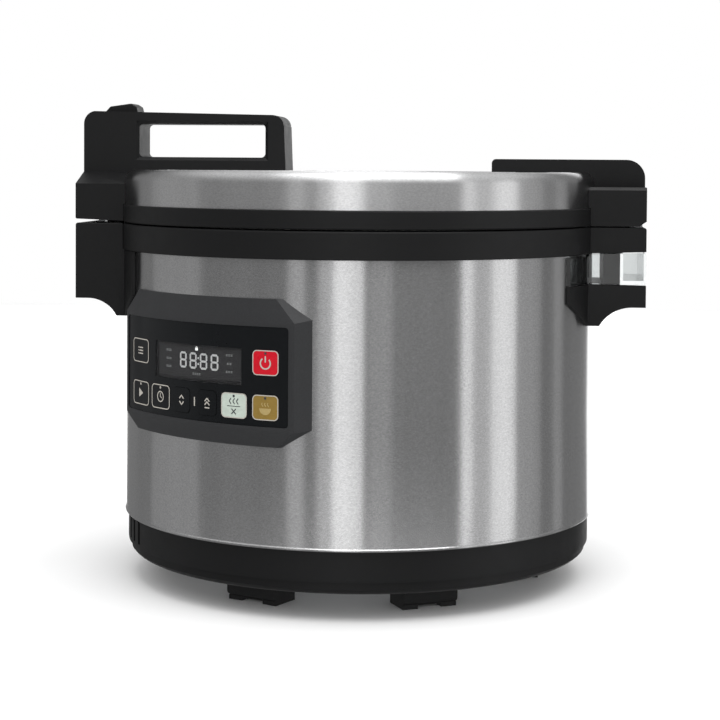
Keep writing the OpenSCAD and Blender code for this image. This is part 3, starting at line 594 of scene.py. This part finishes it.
def resampled(path, step, closed):
    out = []
    ends = path[1:] + path[:1] if closed else path[1:]
    for a, b in zip(path, ends):
        parts = max(1, round(math.hypot(b[0] - a[0], b[1] - a[1]) / step))
        out += [(a[0] + (b[0] - a[0]) * i / parts, a[1] + (b[1] - a[1]) * i / parts) for i in range(parts)]
    return out if closed else out + [path[-1]]


def rounded(width, height, r):
    """Closed path of a rectangle with round corners, about its middle."""
    path = []
    for sx, sy, turn in ((1, 1, 0), (-1, 1, 90), (-1, -1, 180), (1, -1, 270)):
        cx = sx * (width / 2 - r)
        cy = sy * (height / 2 - r)
        for a in steps(turn, turn + 90, 5) + [math.radians(turn + 90)]:
            path.append((cx + r * math.cos(a), cy + r * math.sin(a)))
    return path


def circle(x, y, r, first=0, last=360, count=20):
    return [(x + r * math.cos(a), y + r * math.sin(a)) for a in steps(first, last, count)]


def draw_menu(p):
    for y in (2.6, 0, -2.6):
        p.bar(-4.6, y - 0.5, 1.2, 1.0)
        p.bar(-2.4, y - 0.5, 6.8, 1.0)


def draw_start(p):
    p.fill([(-3, -4), (4.2, 0), (-3, 4)])


def draw_clock(p):
    p.line(circle(0, 0, 4.4), 0.9, True)
    p.line([(0, 2.8), (0, 0), (2.0, -1.2)], 0.8)


def draw_hour(p):
    p.line([(-2.6, 1.2), (0, 4.0), (2.6, 1.2)], 1.1)
    p.line([(-2.6, -1.2), (0, -4.0), (2.6, -1.2)], 1.1)


def draw_minute(p):
    for y in (2.4, -0.6):
        p.line([(-2.6, y - 1.2), (0, y + 1.6), (2.6, y - 1.2)], 1.0)
    p.bar(-2.6, -4.6, 5.2, 1.0)


def draw_warm(p):
    for x in (-3.6, 0, 3.6):
        p.line([(x + 0.8 * math.sin(y * 1.3), y) for y in (1.2, 2.2, 3.2, 4.2, 5.2, 6.2)], 0.8)
    p.bar(-6.5, -0.9, 13, 0.6)
    p.line([(-2.2, -7.2), (2.2, -2.8)], 0.9)
    p.line([(-2.2, -2.8), (2.2, -7.2)], 0.9)


def draw_bowl(p):
    p.fill([(-5.4, -0.6)] + circle(0, -0.6, 5.4, 180, 360, 14)[1:] + [(5.4, -0.6)])
    for x in (-2.6, 0, 2.6):
        p.line([(x + 0.6 * math.sin(y * 1.6), y) for y in (0.8, 1.6, 2.4, 3.2, 4.0)], 0.8)


def draw_power(p):
    p.line(circle(0, -0.4, 4.6, 125, 415, 26), 1.2)
    p.bar(-0.6, 0.4, 1.2, 5.2)


# Key: its pictogram, the print's colour, whether it has an outline, and the colour of its dot
KEYS = {
    "key_menu": (draw_menu, "outline", True, None),
    "key_start": (draw_start, "outline", True, "outline"),
    "key_preset": (draw_clock, "outline", True, "outline"),
    "key_hour": (draw_hour, "outline", False, None),
    "key_minute": (draw_minute, "outline", False, None),
    "key_keep_warm": (draw_warm, "dark", True, "dark"),
    "key_cook": (draw_bowl, "pale_gold", True, "dark"),
    "key_power": (draw_power, "outline", True, "dark"),
}


KEY_LINE = 0.8      # width of a key's outline, in mm
KEY_CORNER = 3.6
KEY_DOT = 1.1       # radius of a key's indicator dot
KEY_DOT_DOWN = 2.6  # from the key's upper edge to the dot


def key_prints():
    for node, (draw, mark, outlined, dot) in KEYS.items():
        low, high = panel_extent(node)
        u = (low[0] + high[0]) / 2
        z = (low[1] + high[1]) / 2
        width = (high[0] - low[0]) / MM
        height = (high[1] - low[1]) / MM
        icon = Print(u, z, high[2])
        draw(icon)
        icon.finish(f"{node}_sign", mark, BODY_OF[node])
        if outlined:
            edge = Print(u, z, high[2])
            edge.line(rounded(width - KEY_LINE, height - KEY_LINE, KEY_CORNER), KEY_LINE, True)
            edge.finish(f"{node}_outline", "outline", BODY_OF[node])
        if dot:
            spot = Print(u, z, high[2])
            spot.dot(0, height / 2 - KEY_DOT_DOWN, KEY_DOT)
            spot.finish(f"{node}_dot", dot, BODY_OF[node])


SEGMENT = 1.7        # width of a segment, in mm
SEGMENT_GAP = 0.18   # half of the gap between two segments
FIGURE_WIDTH = 8.5
COLON_HEIGHTS = (4.4, 9.4)
COLON_DOT = 1.6


def segment(p, x0, y0, x1, y1):
    """Pointed bar of a seven-segment figure between two ends."""
    h = SEGMENT / 2
    if x0 == x1:
        p.fill([(x0, y0), (x0 + h, y0 + h), (x0 + h, y1 - h), (x0, y1), (x0 - h, y1 - h), (x0 - h, y0 + h)])
    else:
        p.fill([(x0, y0), (x0 + h, y0 - h), (x1 - h, y0 - h), (x1, y0), (x1 - h, y0 + h), (x0 + h, y0 + h)])


def display_figures():
    """Four figures with every segment lit, and a colon, in place of the plain ones."""
    low, high = panel_extent("display_digits")
    height = (high[1] - low[1]) / MM
    pitch = ((high[0] - low[0]) / MM - FIGURE_WIDTH) / 3
    p = Print((low[0] + high[0]) / 2, low[1], high[2] - PRINT)
    h = SEGMENT / 2
    for i in (-1.5, -0.5, 0.5, 1.5):
        left = i * pitch - FIGURE_WIDTH / 2 + h
        right = i * pitch + FIGURE_WIDTH / 2 - h
        for y in (h, height / 2, height - h):
            segment(p, left + SEGMENT_GAP, y, right - SEGMENT_GAP, y)
        for x in (left, right):
            segment(p, x, h + SEGMENT_GAP, x, height / 2 - SEGMENT_GAP)
            segment(p, x, height / 2 + SEGMENT_GAP, x, height - h - SEGMENT_GAP)
    for y in COLON_HEIGHTS:
        p.bar(-COLON_DOT / 2, y - COLON_DOT / 2, COLON_DOT, COLON_DOT)
    piece = p.finish("display_figures", "white", "body")
    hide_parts("display_digits")


LEGEND_GAP = 0.7          # between two blocks of a legend, in mm
LEGEND_LEFT = -28         # middles of the legends beside the figures, from the panel's middle
LEGEND_RIGHT = 43
LEGEND_LOW = (7.3, -9.1)  # middle of the legend under the figures
LOCK_AT = (7.3, 12.4)     # middle of the lock above the figures


def legend(p, x, y, widths):
    """Row of small blocks in place of a printed word."""
    at = x - (sum(widths) + LEGEND_GAP * (len(widths) - 1)) / 2
    for width in widths:
        p.bar(at, y - 0.85, width, 0.5)
        p.bar(at, y + 0.35, width, 0.5)
        p.bar(at + width * 0.3, y - 0.85, 0.45, 1.7)
        at += width + LEGEND_GAP


def display_legends():
    low, high = panel_extent("display_window")
    middle_z = (low[1] + high[1]) / 2
    p = Print(0, middle_z, high[2])
    for y in (9, 1.8, -5):
        legend(p, LEGEND_LEFT, y, (1.8, 1.8, 1.8))
    for y, widths in ((9, (1.8, 1.8, 1.8)), (1.8, (2.0, 2.0)), (-5, (1.8, 1.8, 1.8))):
        legend(p, LEGEND_RIGHT, y, widths)
    legend(p, *LEGEND_LOW, (1.8, 1.8, 1.8, 1.8))
    p.finish("display_legends", "dim", "body")
    lock = Print(LOCK_AT[0] * MM, middle_z + LOCK_AT[1] * MM, high[2])
    lock.bar(-1.5, -1.6, 3, 2.2)
    lock.line(circle(0, 0.6, 1.0, 0, 200, 8), 0.45)
    lock.finish("display_lock", "white", "body")


def fascia_marks():
    high = panel_extent("panel_fascia")[1]
    low_key, high_key = panel_extent("key_hour")
    z = (low_key[1] + high_key[1]) / 2
    p = Print(5 * MM, z, high[2])
    p.bar(-0.6, -3.8, 1.2, 7.6)
    p.finish("fascia_divider", "outline", "body")


# ---------- finish ----------

def paint_frame():
    for node, thing in NODES.items():
        material = MATERIALS[SLOT_OF[node]]
        thing.data.materials.clear()
        thing.data.materials.append(material)


def add_floor():
    bpy.ops.mesh.primitive_plane_add(size=FLOOR_SIZE, location=(0, 0, 0))
    floor = bpy.context.object
    floor.name = "floor"
    floor.data.materials.append(floor_material())
    floor.visible_glossy = False
    floor.visible_shadow = False


# Width of the rounding on the edges of each moulded piece, in mm
EDGES = {
    "lid_handle": 1.4, "hinge_cover": 1.4, "latch_block": 1.0, "hinge_block": 1.0,
    "panel_housing": 0.8, "release_button": 0.8, **{f"foot_{i}": 0.8 for i in range(1, 7)},
}

add_camera()
add_world()
add_strips()
add_top_light()
add_floor()
paint_frame()
steel_body()
steel_lid()
for rounded_node, edge in EDGES.items():
    softened(rounded_node, edge * MM)
compressing("sensor_spring")
compressing("button_spring")
key_prints()
display_figures()
display_legends()
fascia_marks()
